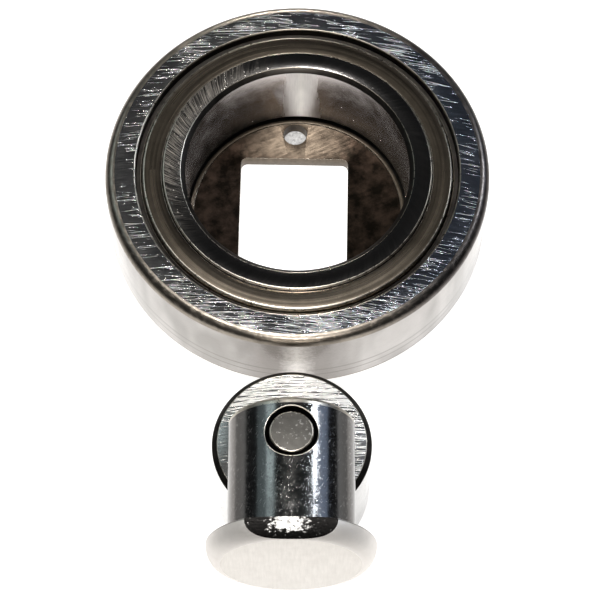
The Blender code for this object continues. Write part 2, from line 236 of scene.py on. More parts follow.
class Steel:
    """Builds one node material.  Sockets are found by name, values or other nodes' outputs."""

    def __init__(self, name, colour, roughness, metallic=1.0):
        self.material = bpy.data.materials.new(name)
        self.material.use_nodes = True
        self.tree = self.material.node_tree
        self.shader = self.tree.nodes["Principled BSDF"]
        self.set(self.shader, {"Metallic": metallic, "Roughness": roughness, "Base Color": (*colour, 1)})
        self.point = self.node("ShaderNodeTexCoord").outputs["Object"]
        self.bumps = []

    def set(self, node, values):
        for key, value in values.items():
            socket = node.inputs[key]
            if isinstance(value, bpy.types.NodeSocket):
                self.tree.links.new(value, socket)
            else:
                socket.default_value = value

    def node(self, kind, values=None, **settings):
        made = self.tree.nodes.new(kind)
        for key, value in settings.items():
            setattr(made, key, value)
        self.set(made, values or {})
        return made

    def maths(self, operation, a, b=0.0):
        return self.node("ShaderNodeMath", {0: a, 1: b}, operation=operation).outputs[0]

    def times(self, a, b):
        return self.maths("MULTIPLY", a, b)

    def plus(self, a, b):
        return self.maths("ADD", a, b)

    def minus(self, a, b):
        return self.maths("SUBTRACT", a, b)

    def larger(self, a, b):
        return self.maths("MAXIMUM", a, b)

    def size_of(self, a):
        return self.maths("ABSOLUTE", a)

    def distance(self, x, y):
        """How far each point is from a place on the floor, given in millimetres."""
        values = {0: self.point, 1: (x * MM, y * MM, 0)}
        return self.node("ShaderNodeVectorMath", values, operation="DISTANCE").outputs["Value"]

    def split(self, vector):
        return self.node("ShaderNodeSeparateXYZ", {0: vector}).outputs

    def joined(self, x, y, z):
        return self.node("ShaderNodeCombineXYZ", {0: x, 1: y, 2: z}).outputs[0]

    def noise(self, vector, scale=1.0, detail=2.0, roughness=0.5):
        values = {"Vector": vector, "Scale": scale, "Detail": detail, "Roughness": roughness}
        return self.node("ShaderNodeTexNoise", values).outputs["Fac"]

    def ramp(self, value, low, high, start=0.0, end=1.0):
        values = {"Value": value, "From Min": low, "From Max": high, "To Min": start, "To Max": end}
        return self.node("ShaderNodeMapRange", values, clamp=True).outputs["Result"]

    def zone(self, value, low, high, start=0.0, end=1.0):
        """A ramp over a length, its limits in millimetres."""
        return self.ramp(value, low * MM, high * MM, start, end)

    def mix(self, share, first, second):
        made = self.node("ShaderNodeMix", data_type="RGBA")
        for socket, value in zip((made.inputs[0], made.inputs[6], made.inputs[7]), (share, first, second)):
            if isinstance(value, bpy.types.NodeSocket):
                self.tree.links.new(value, socket)
            else:
                socket.default_value = value if isinstance(value, float) else (*value[:3], 1)
        return made.outputs[2]

    def colour(self, value):
        self.set(self.shader, {"Base Color": value})

    def roughness(self, value):
        self.set(self.shader, {"Roughness": value})

    def bump(self, height, depth, strength):
        """A depth in thousandths of a millimetre."""
        self.bumps.append((height, depth * MM / 1000, strength))

    def finish(self):
        normal = None
        for height, distance, strength in self.bumps:
            values = {"Height": height, "Distance": distance, "Strength": strength}
            if normal:
                values["Normal"] = normal
            normal = self.node("ShaderNodeBump", values).outputs["Normal"]
        if normal:
            self.set(self.shader, {"Normal": normal})
        return self.material

    def streaks(self, along, across, length, width, seed, density):
        """Thin lines, length by width in millimetres.  A density of 0 leaves almost none, 1 covers half."""
        vector = self.joined(self.times(along, 1 / (length * MM)), self.times(across, 1 / (width * MM)), seed)
        level = self.plus(self.noise(vector, 1.0, 2.0, 0.5), self.times(density, 0.2))
        return self.ramp(level, 0.66, 0.74)

    def glints(self, scale, share, colour):
        """A colour with faint rainbow specks in it, as painted glints."""
        rainbow = self.node("ShaderNodeTexNoise", {"Vector": self.point, "Scale": scale}).outputs["Color"]
        vivid = self.node("ShaderNodeHueSaturation", {"Color": rainbow, "Saturation": 2.0, "Value": 1.4})
        return self.mix(share, colour, vivid.outputs["Color"])


def curved_grain(steel, origin, bend):
    """Along and across coordinates of long grinding lines, which bow like a wide arc."""
    x, y, _ = steel.split(steel.point)
    x = steel.minus(x, origin[0] * MM)
    bow = steel.times(steel.times(x, x), 0.5 / (bend * MM))
    return x, steel.plus(y, bow)


def polar(steel, axis):
    """Angle and radius about a vertical axis."""
    x, y, _ = steel.split(steel.point)
    x = steel.minus(x, axis[0] * MM)
    y = steel.minus(y, axis[1] * MM)
    radius = steel.maths("SQRT", steel.plus(steel.times(x, x), steel.times(y, y)))
    return steel.maths("ARCTAN2", y, x), radius


# ---------------------------------------------------------------- materials

def ground_face():
    """The roller's end face: surface ground, with bright lines from handling, thickest at the front as
    painted glints.  The lines hold painted rainbow glints, and painted reflection turns the right side bluish
    and darker.
    """
    steel = Steel("ground_face", (0.5, 0.5, 0.51), 0.15)
    along, across = curved_grain(steel, (-4, 0), 140)
    x, y, _ = steel.split(steel.point)
    patches = steel.noise(steel.point, 220, 3, 0.65)
    # front and far set where the bright lines gather, as wear and as painted glints, most at the front
    front = steel.zone(y, -9, 4, 1.0, 0.0)
    far = steel.zone(y, 26, 36, 0.0, 0.3)
    worn = steel.larger(steel.times(front, 0.65), far)
    density = steel.plus(worn, steel.ramp(patches, 0.3, 0.7, -0.3, 0.3))
    long_lines = steel.streaks(along, across, 10, 0.09, 3.0, density)
    slanted = steel.plus(across, steel.times(along, 0.12))
    short_lines = steel.streaks(along, slanted, 5, 0.08, 7.0, density)
    lines = steel.larger(long_lines, short_lines)
    fine_vector = steel.joined(steel.times(along, 260), steel.times(across, 7000), 1.0)
    fine = steel.noise(fine_vector, 1, 2, 0.6)
    steel.bump(fine, 10, 0.7)
    steel.bump(lines, 15, 0.7)
    # painted reflection: the face turns bluish and darker towards the right
    plain = steel.mix(steel.zone(x, -10, 20), (0.5, 0.49, 0.48), (0.27, 0.31, 0.4))
    # painted glints: rainbow specks mixed into the lines' colour
    scratch_colour_with_painted_glints = steel.glints(5000, 0.35, (0.74, 0.72, 0.7))
    steel.colour(steel.mix(lines, plain, scratch_colour_with_painted_glints))
    dull = steel.ramp(fine, 0.3, 0.7, 0.1, 0.22)
    steel.roughness(steel.plus(dull, steel.times(lines, 0.3)))
    return steel.finish()


def worn_corner():
    """The roller's rounded corners: dull and brownish, with nicks, and darkened at the right as painted
    shade.
    """
    steel = Steel("worn_corner", (0.33, 0.3, 0.27), 0.3)
    cloud = steel.noise(steel.point, 900, 3, 0.6)
    nicks = steel.ramp(steel.noise(steel.point, 1700, 2, 0.6), 0.5, 0.62)
    steel.bump(cloud, 30, 0.6)
    steel.bump(nicks, 10, 0.6)
    x, _, _ = steel.split(steel.point)
    worn = steel.mix(cloud, (0.17, 0.145, 0.12), (0.38, 0.34, 0.29))
    # painted shade: a much darker copy of the corner colour, for the right side
    dark = steel.mix(cloud, (0.05, 0.045, 0.042), (0.17, 0.15, 0.14))
    steel.colour(steel.mix(steel.zone(x, 8, 18), worn, dark))
    steel.roughness(steel.ramp(nicks, 0, 1, 0.28, 0.42))
    return steel.finish()


def polished_tread():
    """The rolling surface: faint bands, a few dark lines round it, and a bright strip at the front as painted
    highlight, set in painted shade.
    """
    steel = Steel("polished_tread", (0.34, 0.325, 0.31), 0.16)
    x, y, z = steel.split(steel.point)
    height = steel.times(z, 1500)
    bands = steel.noise(steel.joined(0.0, 0.0, height), 1, 2, 0.5)
    rubbed = steel.noise(steel.joined(0.0, 4.0, steel.times(z, 900)), 1, 1, 0.5)
    lines = steel.times(steel.ramp(rubbed, 0.56, 0.62), steel.zone(z, 4, 9, 1.0, 0.0))
    nicks = steel.noise(steel.point, 1800, 3, 0.7)
    cloud = steel.noise(steel.point, 300, 3, 0.6)
    angle, _ = polar(steel, ROLLER_AXIS)
    zones = steel.noise(steel.joined(steel.times(angle, 4.6), 0.0, steel.times(z, 60)), 1, 2, 0.6)
    plain = steel.mix(cloud, (0.37, 0.35, 0.335), (0.46, 0.44, 0.425))
    dark_zones_and_painted_shade = steel.mix(steel.ramp(zones, 0.45, 0.65), plain, (0.29, 0.275, 0.26))
    off_middle = steel.plus(steel.size_of(x), steel.times(nicks, 2 * MM))
    front = steel.zone(y, 0, 3, 1.0, 0.0)
    # painted shade: the front darkens either side of its middle
    dull = steel.times(steel.zone(off_middle, 5, 10, 0.8, 0.0), front)
    # painted highlight: a bright strip down the middle of the front
    glint = steel.times(steel.zone(off_middle, 1, 3.5, 0.9, 0.0), front)
    dark_zones_and_painted_shade = steel.mix(dull, dark_zones_and_painted_shade, (0.2, 0.18, 0.165))
    lined = steel.mix(lines, dark_zones_and_painted_shade, (0.15, 0.135, 0.12))
    steel.colour(steel.mix(glint, lined, (0.74, 0.71, 0.68)))
    steel.roughness(steel.ramp(bands, 0.3, 0.7, 0.1, 0.22))
    steel.bump(nicks, 10, 0.4)
    return steel.finish()


def inner_face():
    """The inner ring's face: dark and smooth, with slanting polishing lines on one side, coloured lighter
    there as painted glints.
    """
    steel = Steel("inner_face", (0.3, 0.29, 0.28), 0.14)
    angle, radius = polar(steel, ROLLER_AXIS)
    x, y, _ = steel.split(steel.point)
    swirl = steel.plus(steel.times(angle, 150), steel.times(radius, 5000))
    lines = steel.noise(steel.joined(swirl, steel.times(radius, 250), 2.0), 1, 2, 0.6)
    left = steel.times(steel.zone(x, -13, -2, 1.0, 0.0), steel.zone(y, 5, 16))
    scored_with_painted_glints = steel.times(steel.ramp(lines, 0.32, 0.7), left)
    specks = steel.times(steel.ramp(steel.noise(steel.point, 2200, 1, 0.5), 0.68, 0.72), left)
    # painted glints: the lines on the left take a lighter colour
    steel.colour(steel.mix(scored_with_painted_glints, (0.17, 0.162, 0.158), (0.42, 0.38, 0.33)))
    steel.roughness(steel.plus(steel.ramp(lines, 0.3, 0.7, 0.1, 0.18), steel.times(scored_with_painted_glints, 0.24)))
    steel.bump(lines, 10, 0.6)
    steel.bump(specks, 20, 0.8)
    return steel.finish()


def bore_wall():
    """Honed round the bore, so that reflections smear along it, with one painted highlight streak at the
    back.
    """
    steel = Steel("bore_wall", (0.44, 0.405, 0.395), 0.2)
    tangent = steel.node("ShaderNodeTangent", direction_type="RADIAL", axis="Z").outputs[0]
    cloud = steel.noise(steel.point, 500, 4, 0.6)
    specks = steel.ramp(steel.noise(steel.point, 2400, 2, 0.6), 0.62, 0.7)
    steel.set(steel.shader, {"Tangent": tangent, "Anisotropic": 0.7, "Anisotropic Rotation": 0.25})
    x, y, z = steel.split(steel.point)
    # painted highlight: a ragged near-white streak down the back of the bore
    streaky = steel.noise(steel.joined(steel.times(x, 4000), 0.0, steel.times(z, 350)), 1, 3, 0.6)
    ragged = steel.plus(steel.size_of(steel.minus(x, 0.5 * MM)), steel.times(streaky, 1.6 * MM))
    spread = steel.zone(z, 4, 14, 3.2 * MM, 2.8 * MM)
    rubbed = steel.ramp(steel.maths("DIVIDE", ragged, spread), 0.3, 1.15, 1.0, 0.0)
    rubbed = steel.times(rubbed, steel.zone(y, ROLLER.y + 8, ROLLER.y + 10))
    steel.colour(steel.mix(rubbed, (0.44, 0.405, 0.395), (0.97, 0.95, 0.92)))
    steel.roughness(steel.plus(steel.ramp(cloud, 0.3, 0.7, 0.16, 0.26), steel.times(rubbed, 0.6)))
    steel.bump(cloud, 10, 0.4)
    steel.bump(specks, 10, 0.5)
    return steel.finish()


def brown_washer():
    """Turned in fine rings, brown, and a lighter tan towards the front."""
    steel = Steel("brown_washer", (0.14, 0.12, 0.1), 0.3)
    angle, radius = polar(steel, ROLLER_AXIS)
    rings = steel.noise(steel.joined(steel.times(radius, 2200), steel.times(angle, 0.6), 0.0), 1, 2, 0.5)
    cloud = steel.noise(steel.point, 700, 3, 0.6)
    _, y, _ = steel.split(steel.point)
    plain = steel.mix(cloud, (0.1, 0.083, 0.062), (0.2, 0.167, 0.13))
    rubbed = steel.mix(cloud, (0.26, 0.215, 0.165), (0.46, 0.39, 0.31))
    steel.colour(steel.mix(steel.zone(y, 0, 6, 1.0, 0.0), plain, rubbed))
    steel.roughness(steel.ramp(rings, 0.3, 0.7, 0.2, 0.3))
    steel.bump(rings, 20, 0.4)
    steel.bump(cloud, 10, 0.4)
    return steel.finish()


def bright_edge():
    """Turned edges, slightly golden and lighter over most of their length, and darkened at the right and at
    the back as painted shade.
    """
    steel = Steel("bright_edge", (0.5, 0.46, 0.4), 0.3)
    cloud = steel.noise(steel.point, 1500, 2, 0.6)
    x, y, _ = steel.split(steel.point)
    # painted shade: the edges at the right and at the back take a darker colour
    painted_shade_side = steel.larger(steel.zone(x, 4, 12), steel.zone(y, 24, 30))
    rubbed = steel.mix(cloud, (0.36, 0.325, 0.27), (0.66, 0.62, 0.55))
    plain = steel.mix(cloud, (0.12, 0.105, 0.085), (0.3, 0.27, 0.23))
    steel.colour(steel.mix(painted_shade_side, rubbed, plain))
    steel.roughness(steel.ramp(cloud, 0.3, 0.7, 0.24, 0.42))
    steel.bump(cloud, 10, 0.4)
    return steel.finish()


def black_steel():
    steel = Steel("black_steel", (0.05, 0.045, 0.04), 0.35)
    cloud = steel.noise(steel.point, 800, 3, 0.6)
    steel.roughness(steel.ramp(cloud, 0.3, 0.7, 0.28, 0.45))
    steel.bump(cloud, 10, 0.4)
    return steel.finish()


def dark_plate():
    """Brown-black plate, rough and oily, with slanting rub marks and a tan patch of painted reflection round
    the small hole.
    """
    steel = Steel("dark_plate", (0.05, 0.04, 0.03), 0.4)
    x, y, _ = steel.split(steel.point)
    slant = steel.plus(x, steel.times(y, 0.5))
    across = steel.minus(y, steel.times(x, 0.5))
    rubs = steel.noise(steel.joined(steel.times(slant, 300), steel.times(across, 2500), 0.0), 1, 3, 0.7)
    cloud = steel.noise(steel.point, 450, 4, 0.65)
    # painted reflection: a lighter tan area on the plate's far side, round the small hole
    side = steel.zone(steel.size_of(x), 1, 8, 1.0, 0.0)
    far = steel.zone(y, ROLLER.y + 8, ROLLER.y + 10)
    patch = steel.times(side, far)
    dark = steel.mix(steel.ramp(cloud, 0.4, 0.65), (0.009, 0.007, 0.005), (0.045, 0.03, 0.022))
    tan = steel.mix(steel.ramp(cloud, 0.35, 0.65), (0.06, 0.045, 0.034), (0.15, 0.12, 0.09))
    steel.colour(steel.mix(patch, dark, tan))
    steel.roughness(steel.ramp(rubs, 0.3, 0.7, 0.3, 0.5))
    steel.bump(rubs, 30, 0.7)
    steel.bump(cloud, 40, 0.5)
    return steel.finish()


def tan_wall():
    """The plate's cut edges, where the light steel shows."""
    steel = Steel("tan_wall", (0.42, 0.35, 0.28), 0.4)
    cloud = steel.noise(steel.point, 1200, 3, 0.65)
    steel.colour(steel.mix(cloud, (0.05, 0.04, 0.03), (0.19, 0.155, 0.12)))
    steel.bump(cloud, 30, 0.6)
    return steel.finish()


def foot_top():
    """The foot's top: ground in bowed lines, coloured near white as painted glints, brighter at the far and
    right sides.
    """
    steel = Steel("foot_top", (0.62, 0.61, 0.59), 0.2)
    along, across = curved_grain(steel, (FOOT.x + 4, 0), 90)
    x, y, _ = steel.split(steel.point)
    fine_vector = steel.joined(steel.times(along, 200), steel.times(across, 5200), 9.0)
    fine = steel.noise(fine_vector, 1, 2, 0.6)
    # painted glints: more near-white lines at the far and right sides
    far = steel.zone(y, FOOT.y + 1, FOOT.y + 6)
    right = steel.zone(x, FOOT.x + 2, FOOT.x + 8, 0.0, 0.7)
    density = steel.plus(steel.larger(far, right), 0.12)
    lines = steel.streaks(along, across, 4, 0.16, 11.0, density)
    steel.bump(fine, 20, 0.8)
    steel.bump(lines, 20, 0.8)
    steel.colour(steel.mix(lines, (0.48, 0.465, 0.45), (0.93, 0.9, 0.86)))
    steel.roughness(steel.plus(0.2, steel.times(lines, 0.26)))
    return steel.finish()


def chrome(name, colour, painted_side_shade):
    """Polished steel with pits and hair scratches.  Low down, its sides are darkened as painted shade, the
    right one most.
    """
    steel = Steel(name, colour, 0.09)
    x, y, _ = steel.split(steel.point)
    pits = steel.noise(steel.point, 3000, 3, 0.7)
    wave = steel.noise(steel.point, 700, 3, 0.6)
    specks = steel.ramp(pits, 0.58, 0.7)
    slant, across = steel.plus(y, steel.times(x, 0.7)), steel.minus(x, steel.times(y, 0.5))
    hairs = steel.streaks(slant, across, 1.8, 0.1, 2.0, -0.05)
    marks = steel.larger(steel.times(hairs, 0.8), steel.times(specks, 0.3))
    light = tuple(min(1.0, c * 2.6) for c in colour)
    from_axis = steel.size_of(steel.minus(x, CROSS.x * MM))
    low_down_painted_shade = steel.zone(from_axis, 5.5, 7.2)
    shade = steel.zone(x, CROSS.x, CROSS.x + 1, 0.0, 0.4)
    plain = steel.mix(low_down_painted_shade, colour, steel.mix(shade, painted_side_shade, (0.02, 0.02, 0.02)))
    steel.colour(steel.mix(marks, plain, light))
    steel.roughness(steel.plus(steel.ramp(wave, 0.35, 0.7, 0.11, 0.22), steel.times(marks, 0.3)))
    steel.bump(wave, 20, 0.5)
    steel.bump(specks, 10, 0.6)
    return steel.finish()


def brushed_shoulder():
    """The head's back, turned and left a little rough."""
    steel = Steel("brushed_shoulder", (0.5, 0.475, 0.45), 0.32)
    x, y, _ = steel.split(steel.point)
    turned = steel.noise(steel.joined(steel.times(x, 500), steel.times(y, 3500), 0.0), 1, 3, 0.65)
    lumps = steel.noise(steel.point, 1100, 3, 0.65)
    steel.colour(steel.mix(lumps, (0.42, 0.395, 0.375), (0.6, 0.57, 0.54)))
    steel.roughness(steel.ramp(turned, 0.3, 0.7, 0.24, 0.4))
    steel.bump(turned, 30, 0.6)
    steel.bump(lumps, 60, 0.7)
    return steel.finish()


def head_rim():
    """The head's rounded front edge, softly brushed."""
    steel = Steel("head_rim", (0.8, 0.76, 0.72), 0.5, metallic=0.7)
    lumps = steel.noise(steel.point, 900, 3, 0.65)
    fine = steel.noise(steel.point, 3000, 2, 0.6)
    steel.colour(steel.mix(lumps, (0.86, 0.82, 0.78), (0.98, 0.94, 0.9)))
    steel.roughness(steel.ramp(fine, 0.3, 0.7, 0.46, 0.58))
    steel.bump(lumps, 30, 0.5)
    steel.bump(fine, 10, 0.5)
    return steel.finish()


def worn_flat():
    """The flat on top of the head: dark, with a painted glint as a bright patch at its back, and a few dents,
    also painted bright as glints.
    """
    steel = Steel("worn_flat", (0.3, 0.285, 0.27), 0.22)
    x, y, _ = steel.split(steel.point)
    dents = steel.noise(steel.joined(steel.times(x, 1700), steel.times(y, 2600), 0.0), 1, 3, 0.7)
    fine = steel.noise(steel.point, 3200, 2, 0.6)
    across = steel.size_of(steel.minus(x, (CROSS.x - 0.3) * MM))
    back = steel.zone(y, HEAD_FACE_Y + 0.6, HEAD_FACE_Y + 1.5)
    middle = steel.times(steel.zone(across, 0.8, 3.4, 1.0, 0.0), back)
    # painted glints: the dents and the patch at the back take a near-white colour
    marks = steel.ramp(steel.plus(dents, steel.times(middle, 0.3)), 0.62, 0.84)
    edge = steel.zone(y, HEAD_FACE_Y + 0.4, HEAD_FACE_Y + 2.6, 0.012, 0.07)
    plain = steel.joined(edge, steel.times(edge, 0.94), steel.times(edge, 0.9))
    steel.colour(steel.mix(marks, plain, (1.0, 0.98, 0.95)))
    steel.roughness(steel.plus(0.18, steel.times(marks, 0.3)))
    steel.bump(dents, 20, 0.6)
    steel.bump(fine, 10, 0.5)
    return steel.finish()


def head_face():
    """Finely brushed up and down."""
    steel = Steel("head_face", (0.58, 0.545, 0.51), 0.3)
    x, _, z = steel.split(steel.point)
    brush = steel.noise(steel.joined(steel.times(x, 3200), steel.times(z, 300), 0.0), 1, 3, 0.6)
    cloud = steel.noise(steel.point, 600, 3, 0.6)
    steel.bump(brush, 30, 0.7)
    fine = steel.mix(brush, (0.5, 0.475, 0.44), (0.7, 0.665, 0.625))
    steel.colour(steel.mix(steel.ramp(cloud, 0.4, 0.7, 0.0, 0.35), fine, (0.48, 0.45, 0.415)))
    return steel.finish()


def matt_pin():
    """The cross pin's end, cropped and left dull, with bright pits."""
    steel = Steel("matt_pin", (0.18, 0.17, 0.16), 0.5)
    cloud = steel.noise(steel.point, 1300, 4, 0.65)
    specks = steel.ramp(steel.noise(steel.point, 2600, 1, 0.5), 0.64, 0.7)
    base = steel.mix(cloud, (0.06, 0.057, 0.052), (0.14, 0.133, 0.122))
    steel.colour(steel.mix(specks, base, (0.28, 0.27, 0.255)))
    steel.bump(cloud, 60, 0.6)
    steel.bump(specks, 30, 0.8)
    return steel.finish()


MATERIALS = {
    "ground_face": ground_face(),
    "worn_corner": worn_corner(),
    "polished_tread": polished_tread(),
    "inner_face": inner_face(),
    "bore_wall": bore_wall(),
    "brown_washer": brown_washer(),
    "bright_edge": bright_edge(),
    "black_steel": black_steel(),
    "dark_plate": dark_plate(),
    "tan_wall": tan_wall(),
    "foot_top": foot_top(),
    # the second colour given to chrome is painted shade for its sides low down
    "chrome": chrome("chrome", (0.22, 0.215, 0.21), (0.09, 0.08, 0.073)),
    "brushed_shoulder": brushed_shoulder(),
    "head_rim": head_rim(),
    "foot_side": chrome("foot_side", (0.66, 0.65, 0.635), (0.62, 0.61, 0.6)),
    "worn_flat": worn_flat(),
    "head_face": head_face(),
    "matt_pin": matt_pin(),
}


# ---------------------------------------------------------------- pieces

def make_outer_ring():
    top, low = ROLLER_TOP, ROLLER_LOW
    edge = 0.22
    rim = ROLLER_RADIUS - CORNER
    bore, race, depth = COUNTERBORE_RADIUS, OUTER_RACE_RADIUS, COUNTERBORE_DEPTH
    sections = [
        ("bright_edge", arc((bore + edge, top - edge), edge, 180, 90, 4)),
        ("ground_face", [(bore + edge, top), (rim, top)]),
        ("worn_corner", arc((rim, top - CORNER), CORNER, 90, 0, 10)),
        ("polished_tread", [(ROLLER_RADIUS, top - CORNER), (ROLLER_RADIUS, low + CORNER)]),
        ("worn_corner", arc((rim, low + CORNER), CORNER, 0, -90, 10)),
        ("ground_face", [(rim, low), (bore + edge, low)]),
        ("bright_edge", arc((bore + edge, low + edge), edge, 270, 180, 4)),
        ("black_steel", [(bore, low + edge), (bore, low + depth), (race, low + depth)]),
        ("bore_wall", [(race, low + depth), (race, top - depth)]),
        ("black_steel", [(race, top - depth), (bore, top - depth), (bore, top - edge)]),
    ]
    mesh = lathe("outer_ring_fine", sections, ROLLER_AXIS, AROUND, MATERIALS)
    return new_object("outer_ring_fine", mesh, "outer_ring", "outer_ring")


def make_inner_ring():
    top, low, chamfer = INNER_TOP, INNER_LOW, BORE_CHAMFER
    edge, lip = 0.2, 0.07
    outer = INNER_RACE_RADIUS
    mouth = BORE_RADIUS + chamfer
    sections = [
        ("bright_edge", [(mouth, top - lip / 2), (mouth + lip, top)]),
        ("inner_face", [(mouth + lip, top), (outer - edge, top)]),
        ("bright_edge", arc((outer - edge, top - edge), edge, 90, 0, 4)),
        ("bore_wall", [(outer, top - edge), (outer, low + edge)]),
        ("bright_edge", arc((outer - edge, low + edge), edge, 0, -90, 4)),
        ("inner_face", [(outer - edge, low), (mouth, low)]),
        ("black_steel", [(mouth, low), (BORE_RADIUS + lip, low + chamfer - lip)]),
        ("bright_edge", [(BORE_RADIUS + lip, low + chamfer - lip), (BORE_RADIUS, low + chamfer + lip)]),
        ("bore_wall", [(BORE_RADIUS, low + chamfer + lip), (BORE_RADIUS, top - chamfer)]),
        ("black_steel", [(BORE_RADIUS, top - chamfer), (mouth, top - lip / 2)]),
    ]
    mesh = lathe("inner_ring_fine", sections, ROLLER_AXIS, AROUND, MATERIALS)
    return new_object("inner_ring_fine", mesh, "hub", "inner_ring")


def make_washer(node):
    low, top = span_of(node)
    radius = radius_of(node)
    edge, inner_edge = 0.3, 0.1
    sections = [
        ("bright_edge", arc((WASHER_BORE + inner_edge, top - inner_edge), inner_edge, 180, 90, 3)),
        ("brown_washer", [(WASHER_BORE + inner_edge, top), (radius - edge, top)]),
        ("bright_edge", arc((radius - edge, top - edge), edge, 90, 0, 5)),
        ("brown_washer", [(radius, top - edge), (radius, low + edge)]),
        ("bright_edge", arc((radius - edge, low + edge), edge, 0, -90, 5)),
        ("brown_washer", [(radius - edge, low), (WASHER_BORE + inner_edge, low)]),
        ("bright_edge", arc((WASHER_BORE + inner_edge, low + inner_edge), inner_edge, 270, 180, 3)),
        ("brown_washer", [(WASHER_BORE, low + inner_edge), (WASHER_BORE, top - inner_edge)]),
    ]
    name = node + "_fine"
    mesh = lathe(name, sections, ROLLER_AXIS, AROUND, MATERIALS)
    return new_object(name, mesh, "hub", node)


def make_seal_ring(node):
    low, top = span_of(node)
    radius = radius_of(node)
    edge = 0.12
    sections = [
        ("bright_edge", arc((SEAL_INNER + edge, top - edge), edge, 180, 90, 3)),
        ("black_steel", [(SEAL_INNER + edge, top), (radius, top), (radius, low)]),
        ("black_steel", [(radius, low), (SEAL_INNER + edge, low)]),
        ("bright_edge", arc((SEAL_INNER + edge, low + edge), edge, 270, 180, 3)),
    ]
    name = node + "_fine"
    mesh = lathe(name, sections, ROLLER_AXIS, AROUND, MATERIALS)
    return new_object(name, mesh, "outer_ring", node)


def window_outline():
    half_x, half_y = WINDOW_SIZE[0] / 2 - WINDOW_CORNER, WINDOW_SIZE[1] / 2 - WINDOW_CORNER
    corners = [(half_x, half_y, 0), (-half_x, half_y, 90), (-half_x, -half_y, 180), (half_x, -half_y, 270)]
    outline = []
    for x, y, start in corners:
        outline += arc((x + WINDOW_CENTRE_X, y), WINDOW_CORNER, start, start + 90, 8)
    return outline


def turned_about_roller(points):
    """Points on the end plate, turned with it, in the row frame."""
    c, s = math.cos(PLATE_TURN), math.sin(PLATE_TURN)
    return [(x * c - y * s, x * s + y * c + ROLLER.y) for x, y in points]


def make_end_plate():
    top = span_of("end_plate")[1] - SPIGOT_HEIGHT
    radius = radius_of("end_plate")
    edge = 0.25
    rim = top + SPIGOT_HEIGHT
    sections = [
        ("dark_plate", [(0, top), (SPIGOT_INNER, top)]),
        ("tan_wall", [(SPIGOT_INNER, top), (SPIGOT_INNER, rim), (SPIGOT_OUTER, rim)]),
        ("black_steel", [(SPIGOT_OUTER, rim), (SPIGOT_OUTER, top), (radius - edge, top)]),
        ("dark_plate", [(radius - edge, top), (radius, top - edge),
                        (radius, edge), (radius - edge, 0), (0, 0)]),
    ]
    mesh = lathe("end_plate_fine", sections, ROLLER_AXIS, AROUND, MATERIALS, closed=False)
    plate = new_object("end_plate_fine", mesh, "hub", "end_plate")
    cut(plate, prism(turned_about_roller(window_outline()), -1, top + 1))
    bevel = plate.modifiers.new("Edges", "BEVEL")
    bevel.limit_method = "ANGLE"
    bevel.angle_limit = math.radians(60)
    bevel.width = 0.12 * MM
    bevel.segments = 2
    plate.data.materials.append(MATERIALS["bright_edge"])
    bevel.material = len(plate.data.materials) - 1
    apply_modifiers(plate)
    hole = circle(WINDOW_CENTRE_X, OIL_HOLE_Y, OIL_HOLE_RADIUS, 48)
    mesh = shaded(cut(plate, prism(turned_about_roller(hole), -1, top + 1)))
    for face in mesh.polygons:
        place = face.center.to_2d() / MM - ROLLER.to_2d()
        if place.length < SPIGOT_INNER - 0.1 and abs(face.normal.z) < 0.3:
            in_hole = place.y > WINDOW_SIZE[1] / 2 + 0.5  # the small hole lies beyond the window
            face.material_index = mesh.materials.find("dark_plate" if in_hole else "tan_wall")
    return plate


def make_foot():
    chamfer, base, lip = 0.65, 0.35, 0.1
    radius, top = FOOT_RADIUS, FOOT_TOP
    flat = radius - chamfer
    sections = [
        ("foot_top", [(0, top), (flat - lip, top)]),
        ("bright_edge", [(flat - lip, top), (flat, top - lip / 2)]),
        ("black_steel", [(flat, top - lip / 2), (radius, top - chamfer)]),
        ("foot_side", [(radius, top - chamfer), (radius, base), (radius - base, 0), (0, 0)]),
    ]
    mesh = lathe("foot_cylinder_fine", sections, FOOT_AXIS, 192, MATERIALS, closed=False)
    foot = new_object("foot_cylinder_fine", mesh, "foot", "foot_cylinder")
    socket = circle(CROSS.x, CROSS.y, SOCKET_RADIUS, 64)
    shaded(cut(foot, prism(socket, top - SOCKET_DEPTH, top + 1)))
    return foot


def pin_profile():
    """The headed pin's outline, as (radius, distance from the plain end)."""
    def quarter(steps):
        return [math.radians(90 * i / steps) for i in range(steps + 1)]

    rim, face = HEAD_RADIUS, PIN_LENGTH
    front = [(FACE_RADIUS + (rim - FACE_RADIUS) * math.sin(a), RIM_END + (face - RIM_END) * math.cos(a))
             for a in quarter(12)]
    shoulder = [(SHOULDER_RADIUS + (rim - SHOULDER_RADIUS) * math.cos(a),
                 RIM_START - (RIM_START - HEAD_BACK) * math.sin(a)) for a in quarter(10)]
    neck = [(SHOULDER_RADIUS - (SHOULDER_RADIUS - SHANK_RADIUS) * math.sin(a),
             HEAD_BACK - (HEAD_BACK - NECK_START) * (1 - math.cos(a))) for a in quarter(8)]
    return front, shoulder, neck


